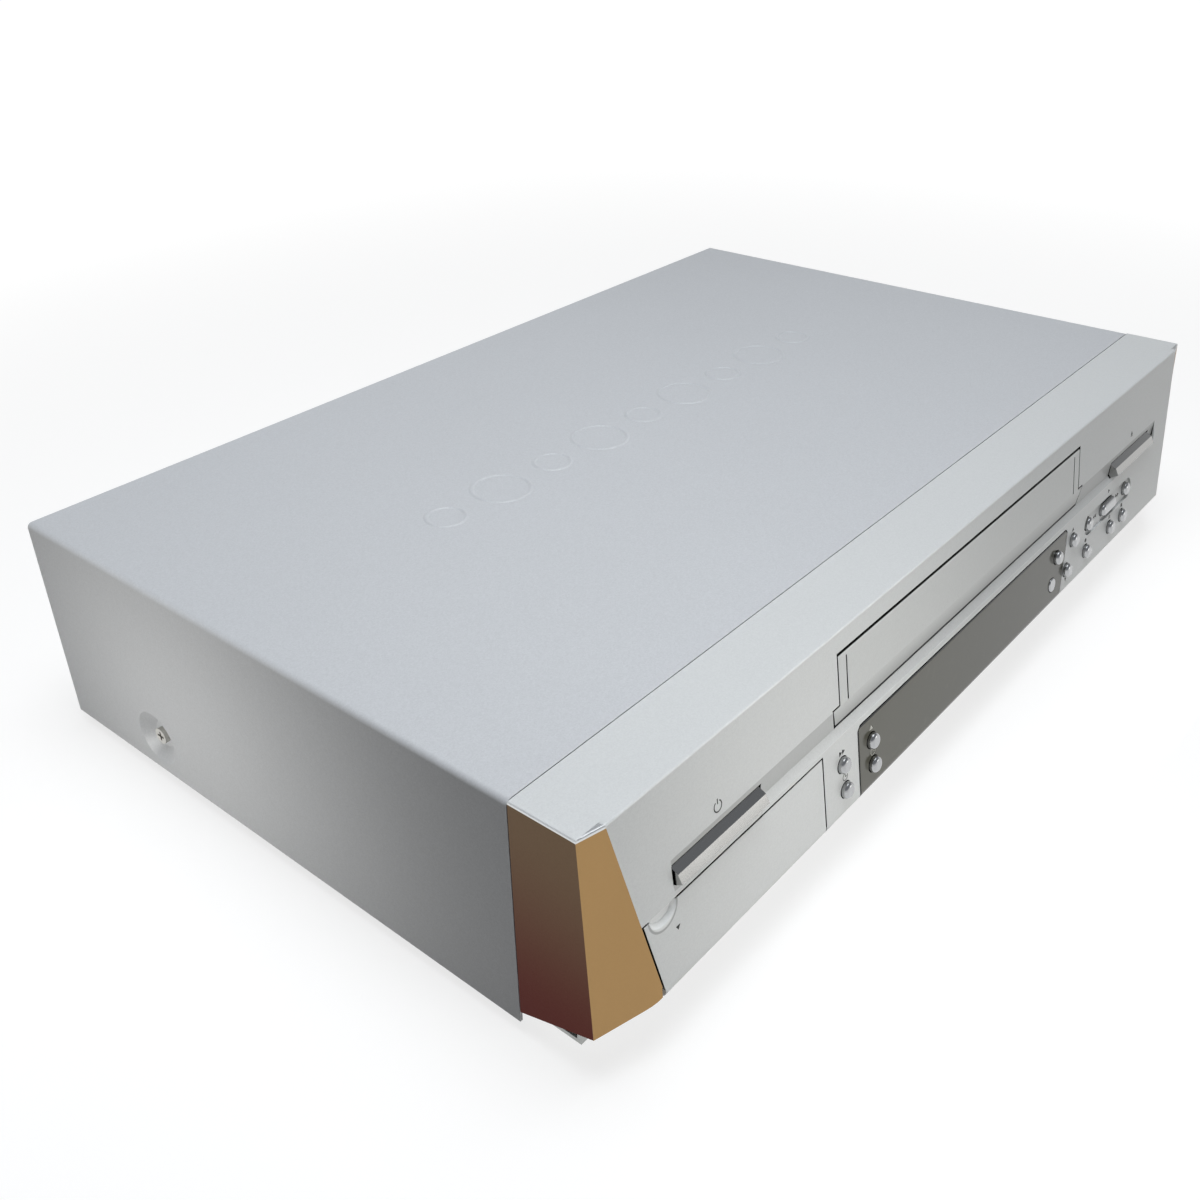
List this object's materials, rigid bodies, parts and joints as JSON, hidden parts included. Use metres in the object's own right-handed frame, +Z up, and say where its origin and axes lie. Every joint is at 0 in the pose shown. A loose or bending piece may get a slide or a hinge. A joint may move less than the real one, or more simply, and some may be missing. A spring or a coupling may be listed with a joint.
{
  "type": "video cassette player",
  "caption": "Flat front-loading video cassette player with a hinged cassette door, flip-down jack door, push buttons and a full tape deck inside.",
  "frame": {"origin": "under the middle of the object, on the plane its feet stand on", "axes": "+X to the right seen from the front, +Y to the rear, +Z up"},
  "size_m": [0.43, 0.2846, 0.0896],
  "materials": {
    "cover_paint": "satin metallic",
    "panel_paint": "satin",
    "window_smoke": "smoked, glossy",
    "door_paint": "satin",
    "button_chrome": "bright",
    "button_silver": "silver, glossy",
    "dark_plastic": "fine matte",
    "zinc_sheet": "plated",
    "foot_rubber": "matte",
    "screw_steel": "plated",
    "board_laminate": "satin lacquer",
    "nickel": "bright nickel",
    "yellow_insert": "glossy",
    "white_insert": "glossy",
    "red_insert": "glossy",
    "display_glass": "dark",
    "white_plastic": "satin",
    "drum_aluminium": "fine turned",
    "core_steel": "laminated",
    "roller_rubber": "ground matte",
    "capstan_steel": "ground"
  },
  "bodies": {
    "case": {"top_cover": "cover_paint", "front_panel": "panel_paint", "display_window": "window_smoke", "rear_panel": "zinc_sheet", "bottom_chassis": "zinc_sheet", "feet": "foot_rubber", "cover_screws": "screw_steel", "circuit_boards": "board_laminate", "board_components": "dark_plastic", "cans_and_heat_sink": "zinc_sheet", "transformer": "core_steel", "jack_blocks": "dark_plastic", "metal_sockets": "nickel", "video_inserts": "yellow_insert", "left_audio_inserts": "white_insert", "right_audio_inserts": "red_insert", "cord_bushing": "dark_plastic", "key_switches": "dark_plastic", "display_module": "display_glass", "deck_plate": "zinc_sheet", "side_plates": "zinc_sheet", "tape_heads": "nickel", "lower_drum": "drum_aluminium", "loading_motor": "zinc_sheet", "reel_belt": "roller_rubber"},
    "cassette_door": {"cassette_door": "door_paint"},
    "jack_door": {"jack_door": "panel_paint"},
    "supply_reel": {"supply_reel": "white_plastic"},
    "takeup_reel": {"takeup_reel": "white_plastic"},
    "idler_arm": {"idler_arm": "zinc_sheet"},
    "idler_wheel": {"idler_wheel": "roller_rubber"},
    "clutch_pulley": {"clutch_pulley": "white_plastic"},
    "capstan": {"capstan": "capstan_steel"},
    "pinch_arm": {"pinch_arm": "zinc_sheet"},
    "pinch_roller": {"pinch_roller": "roller_rubber"},
    "upper_drum": {"upper_drum": "drum_aluminium"},
    "supply_guide": {"supply_guide": "nickel"},
    "takeup_guide": {"takeup_guide": "nickel"},
    "tension_arm": {"tension_arm": "zinc_sheet"},
    "impedance_roller": {"impedance_roller": "white_plastic"},
    "cam_gear": {"cam_gear": "white_plastic"},
    "motor_pinion": {"motor_pinion": "white_plastic"},
    "carriage_sliders": {"carriage_sliders": "zinc_sheet"},
    "cassette_holder": {"cassette_holder": "zinc_sheet"},
    "power_button": {"power_button": "button_chrome"},
    "eject_button": {"eject_button": "button_chrome"},
    "speed_button": {"speed_button": "button_silver"},
    "timer_button": {"timer_button": "button_silver"},
    "input_button": {"input_button": "button_silver"},
    "clock_button": {"clock_button": "button_silver"},
    "counter_button": {"counter_button": "button_silver"},
    "reset_button": {"reset_button": "button_silver"},
    "channel_up_button": {"channel_up_button": "button_silver"},
    "channel_down_button": {"channel_down_button": "button_silver"},
    "record_button": {"record_button": "button_silver"},
    "pause_button": {"pause_button": "button_silver"},
    "stop_button": {"stop_button": "button_silver"},
    "rewind_button": {"rewind_button": "button_silver"},
    "forward_button": {"forward_button": "button_silver"},
    "play_button": {"play_button": "button_silver"}
  },
  "joints": [
    {"name": "cassette_door_hinge", "type": "hinge", "parent": "case", "child": "cassette_door", "pos_m": [0, -0.13075, 0.08009], "axis": [1, 0, 0], "range_deg": [0, 98]},
    {"name": "jack_door_hinge", "type": "hinge", "parent": "case", "child": "jack_door", "pos_m": [-0.15, -0.13793, 0.0239], "axis": [1, 0, 0], "range_deg": [0, 100]},
    {"name": "power_button_press", "type": "slide", "parent": "case", "child": "power_button", "axis": [0, 0.988, -0.1547], "range_m": [0, 0.0008], "stiffness_N_per_m": 300, "springref_m": -0.001},
    {"name": "eject_button_press", "type": "slide", "parent": "case", "child": "eject_button", "axis": [0, 0.988, -0.1547], "range_m": [0, 0.0008], "stiffness_N_per_m": 300, "springref_m": -0.001},
    {"name": "speed_button_press", "type": "slide", "parent": "case", "child": "speed_button", "axis": [0, 0.988, -0.1547], "range_m": [0, 0.0008], "stiffness_N_per_m": 300, "springref_m": -0.001},
    {"name": "timer_button_press", "type": "slide", "parent": "case", "child": "timer_button", "axis": [0, 0.988, -0.1547], "range_m": [0, 0.0008], "stiffness_N_per_m": 300, "springref_m": -0.001},
    {"name": "input_button_press", "type": "slide", "parent": "case", "child": "input_button", "axis": [0, 0.988, -0.1547], "range_m": [0, 0.0008], "stiffness_N_per_m": 300, "springref_m": -0.001},
    {"name": "clock_button_press", "type": "slide", "parent": "case", "child": "clock_button", "axis": [0, 0.988, -0.1547], "range_m": [0, 0.0008], "stiffness_N_per_m": 300, "springref_m": -0.001},
    {"name": "counter_button_press", "type": "slide", "parent": "case", "child": "counter_button", "axis": [0, 0.988, -0.1547], "range_m": [0, 0.0008], "stiffness_N_per_m": 300, "springref_m": -0.001},
    {"name": "reset_button_press", "type": "slide", "parent": "case", "child": "reset_button", "axis": [0, 0.988, -0.1547], "range_m": [0, 0.0008], "stiffness_N_per_m": 300, "springref_m": -0.001},
    {"name": "channel_up_button_press", "type": "slide", "parent": "case", "child": "channel_up_button", "axis": [0, 0.988, -0.1547], "range_m": [0, 0.0008], "stiffness_N_per_m": 300, "springref_m": -0.001},
    {"name": "channel_down_button_press", "type": "slide", "parent": "case", "child": "channel_down_button", "axis": [0, 0.988, -0.1547], "range_m": [0, 0.0008], "stiffness_N_per_m": 300, "springref_m": -0.001},
    {"name": "record_button_press", "type": "slide", "parent": "case", "child": "record_button", "axis": [0, 0.988, -0.1547], "range_m": [0, 0.0008], "stiffness_N_per_m": 300, "springref_m": -0.001},
    {"name": "pause_button_press", "type": "slide", "parent": "case", "child": "pause_button", "axis": [0, 0.988, -0.1547], "range_m": [0, 0.0008], "stiffness_N_per_m": 300, "springref_m": -0.001},
    {"name": "stop_button_press", "type": "slide", "parent": "case", "child": "stop_button", "axis": [0, 0.988, -0.1547], "range_m": [0, 0.0008], "stiffness_N_per_m": 300, "springref_m": -0.001},
    {"name": "rewind_button_press", "type": "slide", "parent": "case", "child": "rewind_button", "axis": [0, 0.988, -0.1547], "range_m": [0, 0.0008], "stiffness_N_per_m": 300, "springref_m": -0.001},
    {"name": "forward_button_press", "type": "slide", "parent": "case", "child": "forward_button", "axis": [0, 0.988, -0.1547], "range_m": [0, 0.0008], "stiffness_N_per_m": 300, "springref_m": -0.001},
    {"name": "play_button_press", "type": "slide", "parent": "case", "child": "play_button", "axis": [0, 0.988, -0.1547], "range_m": [0, 0.0008], "stiffness_N_per_m": 300, "springref_m": -0.001},
    {"name": "capstan_spin", "type": "hinge", "parent": "case", "child": "capstan", "pos_m": [0.062, 0.03728, 0.05], "axis": [0, 0, 1], "continuous": true},
    {"name": "clutch_spin", "type": "hinge", "parent": "case", "child": "clutch_pulley", "pos_m": [0, -0.06073, 0.02], "axis": [0, 0, 1], "continuous": true},
    {"name": "idler_arm_swing", "type": "hinge", "parent": "case", "child": "idler_arm", "pos_m": [0, -0.06073, 0.03], "axis": [0, 0, 1], "range_deg": [-30, 30]},
    {"name": "idler_wheel_spin", "type": "hinge", "parent": "idler_arm", "child": "idler_wheel", "pos_m": [0, -0.03272, 0.025], "axis": [0, 0, 1], "continuous": true},
    {"name": "supply_reel_spin", "type": "hinge", "parent": "case", "child": "supply_reel", "pos_m": [-0.046, -0.03072, 0.03], "axis": [0, 0, 1], "continuous": true},
    {"name": "takeup_reel_spin", "type": "hinge", "parent": "case", "child": "takeup_reel", "pos_m": [0.046, -0.03072, 0.03], "axis": [0, 0, 1], "continuous": true},
    {"name": "drum_spin", "type": "hinge", "parent": "case", "child": "upper_drum", "pos_m": [0, 0.06527, 0.029], "axis": [0, 0.0872, 0.9962], "continuous": true},
    {"name": "pinch_arm_swing", "type": "hinge", "parent": "case", "child": "pinch_arm", "pos_m": [0.088, 0.04127, 0.03], "axis": [0, 0, 1], "range_deg": [-16, 0]},
    {"name": "pinch_roller_spin", "type": "hinge", "parent": "pinch_arm", "child": "pinch_roller", "pos_m": [0.07007, 0.02231, 0.035], "axis": [0, 0, 1], "continuous": true},
    {"name": "tension_arm_swing", "type": "hinge", "parent": "case", "child": "tension_arm", "pos_m": [-0.08, -0.00272, 0.025], "axis": [0, 0, 1], "range_deg": [-12, 0], "stiffness_Nm_per_rad": 0.02, "springref_deg": 5.73},
    {"name": "impedance_roller_spin", "type": "hinge", "parent": "case", "child": "impedance_roller", "pos_m": [-0.062, 0.04727, 0.035], "axis": [0, 0, 1], "continuous": true},
    {"name": "cam_gear_turn", "type": "hinge", "parent": "case", "child": "cam_gear", "pos_m": [0.076, -0.06473, 0.025], "axis": [0, 0, 1], "range_deg": [0, 300]},
    {"name": "motor_pinion_turn", "type": "hinge", "parent": "case", "child": "motor_pinion", "pos_m": [0.076, -0.08884, 0.025], "axis": [0, 0, 1], "range_deg": [-1205, 5]},
    {"name": "supply_guide_slide", "type": "slide", "parent": "case", "child": "supply_guide", "axis": [0, 1, 0], "range_m": [0, 0.062]},
    {"name": "takeup_guide_slide", "type": "slide", "parent": "case", "child": "takeup_guide", "axis": [0, 1, 0], "range_m": [0, 0.0621]},
    {"name": "carriage_slide", "type": "slide", "parent": "case", "child": "carriage_sliders", "axis": [0, 1, 0], "range_m": [0, 0.084]},
    {"name": "holder_drop", "type": "slide", "parent": "carriage_sliders", "child": "cassette_holder", "axis": [0, 0, -1], "range_m": [0, 0.022]}
  ],
  "couplings": [
    {"joint": "clutch_spin", "follows": "capstan_spin", "ratio": 0.5},
    {"joint": "idler_wheel_spin", "follows": "capstan_spin", "ratio": -0.48929},
    {"joint": "takeup_guide_slide", "follows": "supply_guide_slide", "ratio": 1},
    {"joint": "cam_gear_turn", "follows": "supply_guide_slide", "rad_per_m": 84.31},
    {"joint": "motor_pinion_turn", "follows": "supply_guide_slide", "rad_per_m": -337.24}
  ]
}
